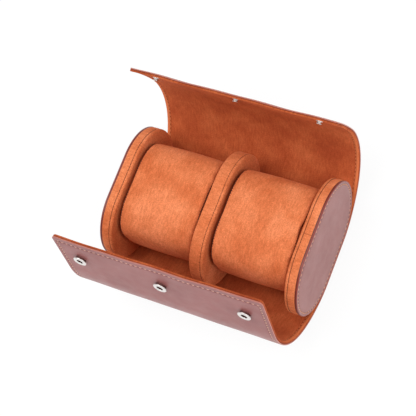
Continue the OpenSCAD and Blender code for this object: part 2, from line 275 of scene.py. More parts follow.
def suede(name, base, light, dark, uv=False, nap=1.0, streak=(1, 1, 1), turn=0.0, margin=None):
    """Brushed suede: mottled where the nap lies differently, with brushed streaks, short fibres and a sheen.
    nap is how rough it is, streak and turn direct the brushing, and margin is the colour of the paler margin
    outside the stitched row; with a margin, painted shade also darkens the thread's groove, the cut side and
    the free end."""
    m = Nodes(name)
    where = m.coordinates(uv)
    patches = m.noise(where, scale=42, distortion=0.3)
    tint = m.ramp(patches, [(0.32, dark), (0.5, base), (0.68, light)])
    streaks = m.noise(m.coordinates(uv, streak, turn), scale=700, roughness=0.6, distortion=0.3)
    brushed = m.ramp(streaks, [(0.3, (0.80, 0.76, 0.72, 1)), (0.7, (1.12, 1.15, 1.18, 1))])
    tint = m.mix(0.85, tint, brushed, "MULTIPLY")
    fibre = m.noise(where, scale=1150, roughness=0.75)
    speckle = m.ramp(fibre, [(0.32, (0.72, 0.67, 0.63, 1)), (0.68, (1.16, 1.2, 1.23, 1))])
    tint = m.mix(0.9, tint, speckle, "MULTIPLY")
    if margin:
        tint = m.mix(m.mark("edge_tint", 0.75), tint, margin)
        # Painted shade: darker in the thread's groove, on the cut side next to the leather and at the free
        # end
        tint = m.mix(m.mark("furrow_and_painted_shade", PAINTED_SHADE_STRENGTH), tint, PAINTED_SHADE_TINT, "MULTIPLY")
    m.link(tint, "Base Color")
    normal = m.bump(patches, strength=0.25 * nap, distance=0.4 * MM)
    normal = m.bump(streaks, strength=0.3 * nap, distance=0.25 * MM, Normal=normal)
    m.link(m.bump(fibre, strength=0.6 * nap, distance=0.3 * MM, Normal=normal), "Normal")
    m.set(Roughness=0.95, Specular_IOR_Level=0.12, Sheen_Weight=0.3, Sheen_Roughness=0.45, Sheen_Tint=light)
    return m.material


def leather(name, base, light, dark, edge, uv=False):
    """Smooth coated leather: a fine pebble grain, faint clouding and a soft gloss. Where the mesh's edge tint
    is set it is glossier and has the colour edge: on the cap its dark edge coat, on the wrap a pale cut edge
    that is partly painted highlight. Painted shade darkens it in the thread's groove and at its free ends."""
    m = Nodes(name)
    base, light, dark, edge = (colour(*c) for c in (base, light, dark, edge))
    where = m.coordinates(uv)
    clouds = m.noise(where, scale=34, detail=5.0, roughness=0.6, distortion=0.3)
    tint = m.ramp(clouds, [(0.34, dark), (0.5, base), (0.66, light)])
    pebbles = m.add("ShaderNodeTexVoronoi", dict(Vector=where, Scale=1350.0), feature="SMOOTH_F1")
    cells = pebbles.outputs["Distance"]
    pores = m.ramp(cells, [(0.0, grey(0.86)), (0.5, grey(1.02))])
    tint = m.mix(0.6, tint, pores, "MULTIPLY")
    fine = m.noise(where, scale=1400, detail=2.0, roughness=0.6)
    flecks = m.ramp(fine, [(0.3, (0.93, 0.92, 0.92, 1)), (0.7, grey(1.06))])
    tint = m.mix(0.7, tint, flecks, "MULTIPLY")
    # The edge colour: the cap's dark edge coat, and on the wrap a pale cut edge that is partly painted
    # highlight
    tint = m.mix(m.mark("edge_tint", 1.0), tint, edge)
    # Painted shade: darker in the thread's groove and at the free ends
    tint = m.mix(m.mark("furrow_and_painted_shade", PAINTED_SHADE_STRENGTH), tint, PAINTED_SHADE_TINT, "MULTIPLY")
    m.link(tint, "Base Color")
    creases = m.noise(where, scale=420, roughness=0.6, distortion=0.8)
    grain = m.bump(cells, strength=0.12, distance=0.15 * MM)
    m.link(m.bump(creases, strength=0.08, distance=0.2 * MM, Normal=grain), "Normal")
    gloss = m.ramp(m.noise(where, scale=120), [(0.3, grey(0.40)), (0.7, grey(0.50))])
    m.link(m.mix(m.mark("edge_tint", 1.0), gloss, grey(0.3)), "Roughness")
    m.set(Specular_IOR_Level=0.32, Sheen_Weight=0.05, Sheen_Roughness=0.5)
    return m.material


def thread(name, base, shadow):
    """Twisted sewing thread."""
    m = Nodes(name)
    wave = dict(Vector=m.coordinates(False), Scale=900.0, Distortion=1.5)
    strands = m.add("ShaderNodeTexWave", wave, bands_direction="DIAGONAL").outputs["Fac"]
    m.link(m.ramp(strands, [(0.1, colour(*shadow)), (0.6, colour(*base))]), "Base Color")
    m.link(m.bump(strands, strength=0.4, distance=0.1 * MM), "Normal")
    m.set(Roughness=0.7, Specular_IOR_Level=0.2)
    return m.material


def metal(name, base, roughness):
    """Plated metal with faint polishing marks."""
    m = Nodes(name)
    marks = m.noise(m.coordinates(False), scale=900, roughness=0.6, distortion=1.5)
    m.link(m.ramp(marks, [(0.3, base), (0.7, shade(base, 1.06))]), "Base Color")
    m.link(m.ramp(marks, [(0.3, grey(roughness)), (0.7, grey(roughness * 1.6))]), "Roughness")
    m.link(m.bump(marks, strength=0.05, distance=0.05 * MM), "Normal")
    m.set(Metallic=1.0)
    return m.material


def core(name, base, scale):
    """Foam or board inside the covers."""
    m = Nodes(name)
    base = colour(*base)
    grain = m.noise(m.coordinates(False), scale, detail=4.0, roughness=0.6)
    m.link(m.ramp(grain, [(0.3, shade(base, 0.7)), (0.7, base)]), "Base Color")
    m.link(m.bump(grain, strength=0.3, distance=0.3 * MM), "Normal")
    m.set(Roughness=0.9)
    return m.material


# The suede of the slabs and cushions and of the wrap's lining, as (base, light, dark); the lining's is
# darker, partly its own tone and partly painted shade for the shaded inside of the wrap
SUEDE_TINTS = [colour(*c) for c in ((209, 118, 74), (221, 132, 88), (196, 103, 60))]
LINING_TINTS = [colour(*c) for c in ((183, 88, 49), (196, 101, 59), (168, 75, 41))]

SUEDE = suede("suede", *SUEDE_TINTS, streak=(0.35, 1, 1), turn=0.3)
SUEDE_LINING = suede("suede_lining", *LINING_TINTS, uv=True, streak=(1, 0.22, 1), margin=colour(216, 122, 76))
SUEDE_CUSHION = suede("suede_cushion", *SUEDE_TINTS, nap=1.3, streak=(1, 0.3, 0.4), turn=0.5)
# The wrap leather's edge colour is its pale cut edge, partly painted highlight along the rounded edge
LEATHER = leather("leather", (134, 72, 69), (141, 79, 76), (127, 65, 62), (182, 112, 98), uv=True)
LEATHER_CAP = leather("leather_cap", (144, 97, 94), (151, 104, 101), (137, 89, 86), (122, 52, 43))
# A dark ring in the gap between a cap's face and its band: partly the edge's dark coat, partly painted shade
# of the gap
EDGE_PAINT_AND_GAP_SHADE = leather("edge_paint_and_gap_shade", (92, 34, 26), (102, 40, 32), (82, 29, 22), (92, 34, 26))
THREAD_PALE = thread("thread_pale", (220, 172, 154), (180, 132, 116))
THREAD_TAN = thread("thread_tan", (232, 172, 138), (186, 120, 88))
THREAD_SUEDE = thread("thread_suede", (206, 116, 72), (160, 80, 44))
THREAD_JOINT = thread("thread_joint", (158, 78, 42), (118, 54, 28))
# Dark seam thread, partly its own colour and partly painted shade of the seam's groove and of the gaps at the
# cushions' ends
THREAD_DARK_AND_SHADE = thread("thread_dark_and_shade", (72, 28, 13), (46, 17, 8))
NICKEL = metal("nickel", (0.58, 0.56, 0.54, 1.0), 0.24)
# The sockets' collars: dark brown as painted shadow under the plates, tinted as a painted reflection of the
# leather
NICKEL_PAINTED_SHADE = metal("nickel_painted_shade", (0.10, 0.042, 0.038, 1.0), 0.5)
FOAM = core("foam", (232, 222, 196), 1400)
BOARD = core("board", (150, 130, 106), 700)


# ---- the wrap


class Flap:
    """The lining's line of one flap, from the flat back outwards; side is 1 for the lid and -1 for the front.

    strips are the stretches after the rounded root, as (length, turn in degrees). spread is how far the soft
    edges stand out past the flat back's sides, and skew how far the free edge runs askew at the right side.
    """

    # The widths in x of the two ripples across the free edge, and how the second changes along the flap
    RIPPLE_WIDTHS = (11 * MM, 6.3 * MM)
    RIPPLE_DRIFT = 30

    def __init__(self, name, side, root_turn, strips, skew, spread):
        self.name = name
        self.side = side
        self.skew = skew
        self.spread = spread
        self.stretches = [(ROOT_RADIUS * math.radians(root_turn), root_turn)] + strips
        self.ends = np.cumsum([0.0] + [length for length, _ in self.stretches])
        self.length = self.ends[-1]

    def line(self, s):
        """(y, z, heading) of the lining's line at arc length s, before mirroring to the flap's side."""
        y, z, heading = FLAT_HALF, WRAP_T, 0.0
        left = s
        for number, (length, degrees) in enumerate(self.stretches, 1):
            step = left if number == len(self.stretches) else min(left, length)
            turn = math.radians(degrees) * step / length
            reach = 2 * step / turn * math.sin(turn / 2) if turn else step
            y += reach * math.cos(heading + turn / 2)
            z += reach * math.sin(heading + turn / 2)
            heading += turn
            left -= step
        return y, z, heading

    def even_point(self, x, s, depth):
        """A point of the wrap: x along the roll, s along the lining, depth below the lining's surface."""
        if s <= 0:
            return Vector((x, self.side * (FLAT_HALF + s), WRAP_T - depth))
        y, z, heading = self.line(s)
        return Vector((x, self.side * (y + depth * math.sin(heading)), z - depth * math.cos(heading)))

    def point(self, x, s, depth):
        """The same of the used wrap: towards its free edge it spreads, runs askew and ripples."""
        if s <= 0:
            return self.even_point(x, s, depth)
        free = s / self.length
        first, second = self.RIPPLE_WIDTHS
        ripple = math.sin(x / first + self.side) + math.sin(x / second + self.RIPPLE_DRIFT * s)
        depth += RIPPLE * free**2 * ripple
        x *= 1 + self.spread / WRAP_HALF * smooth_step(free, 0.1, 0.6)
        return self.even_point(x, s + self.skew * x / WRAP_HALF * free**4, depth)

    def inside_row(self, x, s):
        """How far inside the stitched row a place is, negative in the margin outside it."""
        return min(WRAP_HALF - abs(x) - SIDE_INSET, self.length - s - EDGE_INSET)

    def furrow_and_painted_shade(self, x, s):
        """How deep a groove the thread makes at a place, from 0 to 1: it sets how far the surface is pressed
        in and how much painted shade lies there.
        """
        return math.exp(-((self.inside_row(x, s) / ROW_WIDTH) ** 2))


LID_STRIPS = [(24.4916 * MM, 22.4)] * 4 + [(38 * MM, 8.0)]
FRONT_STRIPS = [(18.8 * MM, 17.4)] * 5 + [(47.5 * MM, 0.0)]
LID = Flap("lid", 1, root_turn=12, strips=LID_STRIPS, skew=-0.4 * MM, spread=0.8 * MM)
FRONT = Flap("front", -1, root_turn=15, strips=FRONT_STRIPS, skew=1.3 * MM, spread=1.7 * MM)

# Where a cross-section's columns lie, in from the wrap's side, and the last cross-sections, in from the row
# along the free edge: close together over the stitches
SIDE_COLUMNS = [c * MM for c in (0.5, 1.1, 1.7, 2.1, 2.4, 2.7, 3.0, 3.3, 3.6, 3.9, 4.5, 5.6, 7.5, 10)]
MIDDLE_COLUMNS = 12
EDGE_RINGS = [c * MM for c in (4.4, 2.8, 1.7, 1.1, 0.7, 0.4, 0.2, 0, -0.2, -0.4, -0.7, -1.1, -1.6)]
RING_PITCH = 1.9 * MM
# How far in from a free end the even cross-sections stop
FREE_STRETCH = 11 * MM
# Where the lining's paler margin begins and is full, inside the stitched row
MARGIN_FADE = (-0.6 * MM, -0.2 * MM)
# How much painted shade darkens the lining's cut side towards the leather that it is glued to, and the
# layers' free ends
CUT_SIDE = [0.15, 0.3, 0.5, 0.8, 1.0]
LINING_END = 0.25
LEATHER_END = 0.45


def wrap_ring(flap, s, layer, thin, half, rounding):
    """One cross-section of a layer of the wrap, as points, flat coordinates, edge tint and painted shade,
    from its upper face round to its lower. thin is how much each face is drawn in at a rounded end, and half
    the half width.
    The layer's open face is pressed in along the stitched row."""
    top, bottom = layer[0] + thin, layer[1] - thin
    lining = layer[0] == 0.0
    inner = half - SIDE_COLUMNS[-1]
    across = [half - rounding] + [half - c for c in SIDE_COLUMNS if c > rounding]
    across += [inner * (1 - k / MIDDLE_COLUMNS) for k in range(1, MIDDLE_COLUMNS)]
    across = [-x for x in across] + [0.0] + across[::-1]
    middle, thick = (top + bottom) / 2, (bottom - top) / 2
    angles = np.radians(np.arange(60, -61, -30))
    rim = [(half - rounding + rounding * math.cos(a), middle - thick * math.sin(a)) for a in angles]
    furrows = [flap.furrow_and_painted_shade(x, s) for x in across]
    press, under = (ROW_PRESS, 0.0) if lining else (0.0, ROW_PRESS)
    upper = [(x, top + f * press) for x, f in zip(across, furrows)]
    lower = [(x, bottom - f * under) for x, f in zip(across, furrows)]
    outline = upper + rim + lower[::-1] + [(-x, d) for x, d in rim[::-1]]
    # The lining: a paler margin outside the row, and painted shade in the row's groove, on its cut side and
    # at its free end
    if lining:
        edge_tint = [1 - smooth_step(flap.inside_row(x, s), *MARGIN_FADE) for x in across]
        edge_tint += [0.0] * (len(outline) - len(across))
        furrow_and_painted_shade = [LINING_END if thin > 0 else f for f in furrows]
        furrow_and_painted_shade += CUT_SIDE + [1.0] * len(across) + CUT_SIDE[::-1]
    # The leather: a pale cut edge on its sides, partly painted highlight, and painted shade in the row's
    # groove on its lower face and over its free end
    else:
        edge_tint = [float(abs(x) > half - 0.7 * rounding) for x, _ in outline]
        furrow_and_painted_shade = [0.0] * (len(across) + len(rim)) + furrows[::-1] + [0.0] * len(rim)
        if thin > 0:
            furrow_and_painted_shade = [LEATHER_END] * len(furrow_and_painted_shade)
    return [flap.point(x, s, depth) for x, depth in outline], [(x, s) for x, _ in outline], edge_tint, furrow_and_painted_shade


def free_end_cuts(end, half, rounding, thickness):
    """Cross-sections of a free end with rounded corners and a rounded edge, as (s, half width, thinning)."""
    cuts = [(end - (EDGE_INSET + c), half, 0.0) for c in EDGE_RINGS]
    for angle in np.radians(np.linspace(0, 90, 12)):
        place = end - FREE_CORNER + FREE_CORNER * math.sin(angle)
        if place < end - rounding:
            cuts.append((place, half - FREE_CORNER + FREE_CORNER * math.cos(angle), 0.0))
    for angle in np.radians(np.linspace(0, 80, 5)):
        place = end - rounding + rounding * math.sin(angle)
        drop = (place - end + FREE_CORNER) / FREE_CORNER
        corner_half = half - FREE_CORNER + FREE_CORNER * math.sqrt(max(0.0, 1 - drop**2))
        cuts.append((place, corner_half, min(rounding * (1 - math.cos(angle)), thickness * 0.42)))
    return cuts


def wrap_piece(name, flap, s_from, s_to, kind, material):
    """A layer of one flap between two arc lengths."""
    layer, inset, rounding = kind
    half = WRAP_HALF - inset
    free = s_to == flap.length
    end = s_to - inset if free else s_to
    body = end - FREE_STRETCH if free else end
    count = max(4, round((body - s_from) / RING_PITCH))
    cuts = [(s, half, 0.0) for s in np.linspace(s_from, body, count)]
    if free:
        cuts += free_end_cuts(end, half, rounding, layer[1] - layer[0])
    rings, flat, edge_tint, furrow_and_painted_shade = [], [], [], []
    for s, cut_half, thin in cuts:
        points, uv, tinted, shaded = wrap_ring(flap, s, layer, thin, cut_half, rounding)
        rings.append(points)
        flat += [(x, flap.side * (at + FLAT_HALF)) for x, at in uv]
        # A leather free end takes the pale cut edge colour, partly painted highlight
        edge_tint += tinted if thin == 0 else [float(layer[0] > 0)] * len(tinted)
        furrow_and_painted_shade += shaded
    vertices, faces = loft(rings)
    if flap.side > 0:
        faces = [f[::-1] for f in faces]
    return new_object(name, vertices, faces, material, uv=flat, marks={"edge_tint": edge_tint, "furrow_and_painted_shade": furrow_and_painted_shade})


def stitch_rings(length, width, height, sections=7, around=7):
    """A stitch along +X as rings of (along, across, up), thick in its middle and pointed at its ends."""
    rings = []
    for i in range(sections + 1):
        t = i / sections
        swell = math.sin(math.pi * min(max(t, 0.03), 0.97)) ** 0.5
        sunk = 0.5 * (1 - swell)
        ring = []
        for a in full_turn(around):
            up = height * (swell * (0.5 + 0.5 * math.sin(a)) - sunk)
            ring.append(((t - 0.5) * length, width / 2 * swell * math.cos(a), up))
        rings.append(ring)
    return rings


def stitches_along(path, place, kind, slant=1):
    """Vertices and faces of the stitches along path, a list of flat points. place maps such a point and a
    height to a point in space, and slant -1 leans the stitches the other way."""
    pitch, size, skew = kind
    shape = stitch_rings(*size)
    steps = np.array(path)
    lengths = running_length(steps)
    count = max(1, round(lengths[-1] / pitch))
    spacing = lengths[-1] / count
    cosine, sine = math.cos(math.radians(skew)), slant * math.sin(math.radians(skew))

    def on_path(length):
        return np.array([np.interp(length, lengths, steps[:, k]) for k in (0, 1)])

    stitches = []
    for i in range(count):
        middle = (i + 0.5) * spacing
        centre = on_path(middle)
        ahead = on_path(middle + 0.5 * MM) - on_path(middle - 0.5 * MM)
        ahead /= np.linalg.norm(ahead)
        along = np.array([ahead[0] * cosine - ahead[1] * sine, ahead[0] * sine + ahead[1] * cosine])
        across = np.array([-along[1], along[0]])
        rings = [[place(*(centre + along * a + across * b), up) for a, b, up in ring] for ring in shape]
        stitches.append(loft(rings))
    return gather(stitches)


def flap_stitch_path(flap, s_from, s_to):
    """The stitched row of one flap between two arc lengths, as one or two lists of (x, s)."""
    row_x = WRAP_HALF - SIDE_INSET
    if s_to < flap.length:
        return [[(sign * row_x, s) for s in np.linspace(s_from, s_to, 24)] for sign in (-1, 1)]
    radius = 0.8 * MM
    corner_s = flap.length - EDGE_INSET - radius
    right = [(row_x, s) for s in np.linspace(s_from, corner_s, 24)]
    right += [(row_x - radius + x, corner_s + y) for x, y in arc((0, 0), radius, 0, 90, 6)][1:]
    return [right + [(-x, s) for x, s in reversed(right)]]


def wrap_stretch(label, flap, s_from, s_to, nodes):
    """The leather, lining and thread of a stretch of the wrap, standing for the two CAD nodes named."""
    hide = wrap_piece(f"{label}_leather", flap, s_from, s_to, LEATHER_LAYER, LEATHER)
    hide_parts(nodes[0])
    soft = wrap_piece(f"{label}_suede", flap, s_from, s_to, LINING_LAYER, SUEDE_LINING)
    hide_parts(nodes[1])

    def outside(x, s, up):
        return flap.point(x, s, WRAP_T - ROW_PRESS + up)

    def inside(x, s, up):
        return flap.point(x, s, ROW_PRESS - up)

    pieces = [hide, soft]
    paths = flap_stitch_path(flap, s_from, s_to)
    for name, place, finish in (("stitches", outside, THREAD_PALE), ("inner_stitches", inside, THREAD_SUEDE)):
        rows = [stitches_along(path, place, ROW_STITCH) for path in paths]
        pieces.append(join(f"{label}_{name}", rows, finish))
    return pieces


def make_flap(flap):
    """One flap, in a piece for each fold, which runs across it from the middle of one strip to the middle of
    the next."""
    joints = len(flap.stretches) - 1
    middles = [(a + b) / 2 for a, b in zip(flap.ends[1:-2], flap.ends[2:-1])]
    middles = [0.0] + middles + [flap.length]
    bodies = ["case"] + [f"{flap.name}_{i + 1}" for i in range(joints)]
    for i in range(joints):
        s_from, s_to = middles[i], middles[i + 1]
        nodes = (f"{flap.name}_leather_{i + 1}", f"{flap.name}_lining_{i + 1}")
        start = flap.point(0, s_from, 0)
        end = flap.point(0, flap.ends[i + 1] + LAST_BEND if s_to == flap.length else s_to, 0)
        for piece in wrap_stretch(bodies[i + 1], flap, s_from, s_to, nodes):
            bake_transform(piece)


def make_back():
    """The flat back panel between the two flaps."""
    for piece in wrap_stretch("wrap_back", LID, -2 * FLAT_HALF, 0.0, ("back_leather", "back_lining")):
        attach(piece, "case")


make_flap(LID)
make_flap(FRONT)
make_back()


# ---- end caps and divider


def stadium(x, inset, around=144):
    """A stadium-shaped ring round the roll's axis at x, drawn in by inset."""
    radius = CAP_RADIUS - inset
    half = []
    for k in range(around // 2 + 1):
        a = math.pi * k / (around // 2) - math.pi / 2
        half.append((x, FLAT_HALF + radius * math.cos(a), MID_Z + radius * math.sin(a)))
    straight = 8
    half += [(x, FLAT_HALF - 2 * FLAT_HALF * k / straight, MID_Z + radius) for k in range(1, straight)]
    return [Vector(p) for p in half + [(x, -y, 2 * MID_Z - z) for _, y, z in half]]


def mirrored(vertices, faces, side):
    """The form as it is, or mirrored to the left end of the roll where side is -1."""
    if side > 0:
        return vertices, faces
    return [Vector((-v.x, v.y, v.z)) for v in vertices], [f[::-1] for f in faces]


# A slab's faces are flat but for a dome of this many rings, the last of them this near the middle
DOME_STEPS = 5
DOME_REACH = 0.92


def slab(name, profile, material, side=1, tinted=(), shaded=()):
    """A stadium-shaped slab from a profile of (x, inset) from one face to the other. side -1 mirrors it.
    tinted and shaded give the edge tint and the painted shade at each place of the profile, from its start."""
    x0, inset0 = profile[0]
    x1, inset1 = profile[-1]
    shares = [k / DOME_STEPS for k in range(DOME_STEPS + 1)]
    near = [(x0, inset0 + (CAP_RADIUS - inset0) * (1 - share) * DOME_REACH) for share in shares[:-1]]
    far = [(x1, inset1 + (CAP_RADIUS - inset1) * share * DOME_REACH) for share in shares[1:]]
    rings = [stadium(x, inset) for x, inset in near + list(profile) + far]
    vertices, faces = mirrored(*loft(rings), side)
    marks = {}
    for mark, values in (("edge_tint", tinted), ("furrow_and_painted_shade", shaded)):
        padded = [0.0] * DOME_STEPS + list(values) + [0.0] * (len(rings) - DOME_STEPS - len(values))
        marks[mark] = [value for value in padded for _ in rings[0]]
    return new_object(name, vertices, faces, material, marks=marks)


def band_profile(x0, x1, round0, round1, crown):
    """The outside of a band of suede from x0 to x1: rounded edges and a middle that is fuller by crown."""
    quarter = np.radians(np.linspace(0, 90, 7))
    low = [(x0 + round0 - round0 * math.cos(a), round0 - round0 * math.sin(a)) for a in quarter]
    high = [(x1 - round1 + round1 * math.cos(a), round1 - round1 * math.sin(a)) for a in quarter[::-1]]
    inner = np.linspace(x0 + round0, x1 - round1, 7)[1:-1]
    flat = [(x, -crown * math.sin(math.pi * (x - x0 - round0) / (x1 - x0 - round0 - round1))) for x in inner]
    return [(x, inset + crown) for x, inset in low + flat + high]


def node_span(name):
    """A CAD node's lowest and highest x."""
    return [corner.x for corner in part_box(name)]


# Arc lengths round a slab's outline: of its round end on the lid's side, and on to the end of its flat top
ROUND_END = math.pi * CAP_RADIUS
TOP_END = ROUND_END + 2 * FLAT_HALF


def round_slab(u, inset):
    """(y, z) on a slab's outline at arc length u, from its back on the lid's side over its top."""
    radius = CAP_RADIUS - inset
    if u <= ROUND_END:
        a = u / CAP_RADIUS - math.pi / 2
        return FLAT_HALF + radius * math.cos(a), MID_Z + radius * math.sin(a)
    if u <= TOP_END:
        return FLAT_HALF - (u - ROUND_END), MID_Z + radius
    a = (u - TOP_END) / CAP_RADIUS + math.pi / 2
    return -FLAT_HALF + radius * math.cos(a), MID_Z + radius * math.sin(a)


# The seam in a slab's edge: its cord's depth and radius, its stitches' depth, and its ends near the wrap
SEAM_CORD_DEPTH = 0.68 * MM
SEAM_CORD_RADIUS = 0.5 * MM
SEAM_DEPTH = 0.30 * MM
SEAM_START = 0.06 * TOP_END
SEAM_END = 2 * math.pi * CAP_RADIUS + 2 * FLAT_HALF - SEAM_START


def seam_parts(x, side=1):
    """A sewn seam round a slab at x: the cord that shows in its groove and the small stitches over it, in
    dark thread that is partly painted shade of the groove.
    """
    cord_section = arc((0.0, SEAM_CORD_DEPTH), SEAM_CORD_RADIUS, 0, 315, 7)
    cord = loft([stadium(x + dx, inset) for dx, inset in cord_section], closed=True)
    path = [(u, x) for u in np.linspace(SEAM_START, SEAM_END, 200)]

    def place(u, at, up):
        return Vector((at, *round_slab(u, SEAM_DEPTH - up)))

    stitches = stitches_along(path, place, SEAM_STITCH)
    return [mirrored(*cord, side), mirrored(*stitches, side)]


# Where the band's ends meet, a little to the front of the cap's top, and how deep and far in it is sewn
JOINT_U = TOP_END - FLAT_HALF + 1.5 * MM
JOINT_DEPTH = 0.08 * MM
JOINT_INSETS = (0.3 * MM, 0.4 * MM)


def band_joint(x0, x1):
    """The seam across the band where its two ends meet."""

    def place(u, x, up):
        return Vector((x, *round_slab(u, JOINT_DEPTH - up)))

    path = [(JOINT_U, x0 + JOINT_INSETS[0]), (JOINT_U, x1 - JOINT_INSETS[1])]
    return stitches_along(path, place, JOINT_STITCH)


# The leather face in mm: its painted edge as (x from its back, inset), its rim as (depth below its middle,
# inset), and its sewn groove and padded middle as (depth, inset from the row)
FACE_BACK = 0.3 * MM
FACE_EDGE = ((0, 0.9), (0.03, 0.45), (0.12, 0.15), (0.3, 0.03), (0.5, 0))
FACE_RIM = ((0.75, 0.05), (0.52, 0.2), (0.38, 0.45), (0.32, 0.9))
FACE_GROOVE = 0.68
FACE_MIDDLE = (
    (0.38, -0.9), (0.5, -0.5), (FACE_GROOVE, -0.2), (FACE_GROOVE, 0.2), (0.5, 0.5),
    (0.36, 1.0), (0.2, 3.5), (0.07, 8), (0, 14),
)
# The dark edge coat along that profile, and the painted shade in the sewn row's groove
FACE_EDGE_TINT = (1, 1, 1, 1, 1, 1, 1, 0.5)
FACE_GROOVE_SHADE = (0,) * 10 + (0.5, 1, 1, 0.5)
# The dark ring behind the leather, set back from its edge into the gap to the band, as (x from the leather's
# back, inset)
# in mm: partly the edge's dark coat, partly painted shade of the gap
EDGE_AND_GAP_RING = ((-0.5, 0.14), (0.8, 0.14), (0.8, 3), (-0.5, 3))
# Each slab's edge roundings, from inside out or from left to right, and how full its band is
BAND_FORM = (0.6 * MM, 0.5 * MM, 0.12 * MM)
LINING_FORM = (1.6 * MM, 0.6 * MM, 0.02 * MM)
DIVIDER_WRAP_FORM = (1.6 * MM, 0.5 * MM, 0.12 * MM)
DIVIDER_SIDE_FORM = (0.5 * MM, 1.5 * MM, 0.02 * MM)


def face_profile(x0, x1):
    """The profile of a cap's leather face."""
    profile = [(x0 + FACE_BACK + up * MM, inset * MM) for up, inset in FACE_EDGE]
    profile += [(x1 - down * MM, inset * MM) for down, inset in FACE_RIM]
    return profile + [(x1 - down * MM, CAP_STITCH_INSET + inset * MM) for down, inset in FACE_MIDDLE]


def cap_stitches(x, side):
    """The sewn row round a cap's leather face."""
    ring = stadium(0, CAP_STITCH_INSET, 288)
    path = [(v.y, v.z) for v in ring + ring[:1]]

    def place(y, z, up):
        return Vector((x - FACE_GROOVE * MM + up, y, z))

    return mirrored(*stitches_along(path, place, ROW_STITCH), side)


def make_cap(label, side):
    """One end cap: its leather face, the dark ring in the gap behind it, partly edge coat and partly painted
    shade, its suede band and inner panel, and its stitches.
    """
    face_from, face_to = node_span("end_face_right")
    band_from, band_to = node_span("end_band_right")
    profile = face_profile(face_from, face_to)
    face = slab(f"cap_face_{label}", profile, LEATHER_CAP, side, FACE_EDGE_TINT, FACE_GROOVE_SHADE)
    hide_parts(f"end_face_{label}")
    # The dark ring in the gap behind the face: partly the edge's dark coat, partly painted shade of that gap
    ring = loft([stadium(face_from + x * MM, inset * MM) for x, inset in EDGE_AND_GAP_RING], closed=True)
    edge_ring = join(f"cap_edge_{label}", [mirrored(*ring, side)], EDGE_PAINT_AND_GAP_SHADE)
    band = slab(f"cap_band_{label}", band_profile(band_from, band_to, *BAND_FORM), SUEDE, side)
    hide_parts(f"end_band_{label}")
    profile = band_profile(*node_span("end_lining_right"), *LINING_FORM)
    lining = slab(f"cap_lining_{label}", profile, SUEDE, side)
    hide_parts(f"end_lining_{label}")
    row = join(f"cap_stitches_{label}", [cap_stitches(face_to, side)], THREAD_TAN)
    seam = join(f"cap_seam_{label}", seam_parts(band_from, side), THREAD_DARK_AND_SHADE)
    pieces = [face, edge_ring, band, lining, row, seam]
    if side > 0:
        pieces.append(join("cap_joint_right", [band_joint(band_from, band_to)], THREAD_JOINT))
    for piece in pieces:
        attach(piece, "case")


def make_divider():
    """The slab between the cushions: a cover with a rolled left rim, and a panel sewn to its right edge."""
    profile = band_profile(*node_span("divider_cover"), *DIVIDER_WRAP_FORM)
    cover = slab("divider_wrap", profile, SUEDE)
    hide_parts("divider_cover")
    panel_from, panel_to = node_span("divider_panel")
    panel = slab("divider_side", band_profile(panel_from, panel_to, *DIVIDER_SIDE_FORM), SUEDE)
    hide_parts("divider_panel")
    seam = join("divider_seam", seam_parts(panel_from), THREAD_DARK_AND_SHADE)
    for piece in (cover, panel, seam):
        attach(piece, "case")


make_cap("right", 1)
make_cap("left", -1)
make_divider()


# ---- cushions

CUSHION_AROUND = 96
SQUARENESS = 2.9
# The pad starts this much smaller than its CAD solid, because the simulation blows it up
PAD_SHRINK = 0.6 * MM
PAD_SWELL = 0.7 * MM
PAD_VOXEL = 1.9 * MM
PAD_FRAMES = 20
PAD_PRESSURE = 4
PAD_DOME = 0.6 * MM
PAD_CROWN = 0.7 * MM
# The roundings of its right and its left rim
PAD_RIMS = ((1, 1.6 * MM), (-1, 2.6 * MM))
# Its right end reaches further than its CAD solid does, and is pressed flat by the next slab this far in
PAD_LEAN = 0.4 * MM
PAD_FLATTEN = 2.4 * MM
PAD_FLATNESS = 0.9


def section(depth, height, angle):
    """A point of the cushion's section, a superellipse."""
    c, s = math.cos(angle), math.sin(angle)
    power = 2 / SQUARENESS
    return depth * math.copysign(abs(c) ** power, c), height * math.copysign(abs(s) ** power, s)


def cushion_form(centre, size):
    """The pad as sewn: a superellipse that is fullest in its middle, with soft rims and domed ends."""
    reach = min(size.y, size.z)
    half = size.x - PAD_DOME
    outline = []
    for side, edge in PAD_RIMS:
        dome = (0.04, 0.2, 0.4, 0.6, 0.8)
        part = [(size.x - PAD_DOME * k**2, reach - k * (reach - edge - PAD_CROWN)) for k in dome]
        for a in np.radians(np.linspace(0, 90, 11)):
            part.append((half - edge * (1 - math.cos(a)), PAD_CROWN + edge * (1 - math.sin(a))))
        for k in np.linspace(1, 0.07, 14)[1:]:
            part.append((k * (half - edge), PAD_CROWN * k**2))
        outline += part if side > 0 else [(0.0, 0.0)] + [(-x, inset) for x, inset in reversed(part)]
    angles = [2 * math.pi * k / CUSHION_AROUND for k in range(CUSHION_AROUND)]
    rings = []
    for x, inset in outline:
        ring = [section(size.y - inset, size.z - inset, a) for a in angles]
        rings.append([centre + Vector((x, y, z)) for y, z in ring])
    vertices, faces = loft(rings)
    return vertices, [f[::-1] for f in faces]


def mesh_points(mesh):
    points = np.zeros(len(mesh.vertices) * 3)
    mesh.vertices.foreach_get("co", points)
    return points.reshape(-1, 3)


def set_points(mesh, points):
    mesh.vertices.foreach_set("co", np.ascontiguousarray(points, float).ravel())
    mesh.update()


def apply_modifiers(obj):
    """Puts what the object's modifiers make into its own mesh, and takes them off."""
    graph = bpy.context.evaluated_depsgraph_get()
    mesh = bpy.data.meshes.new_from_object(obj.evaluated_get(graph))
    obj.modifiers.clear()
    obj.data = mesh


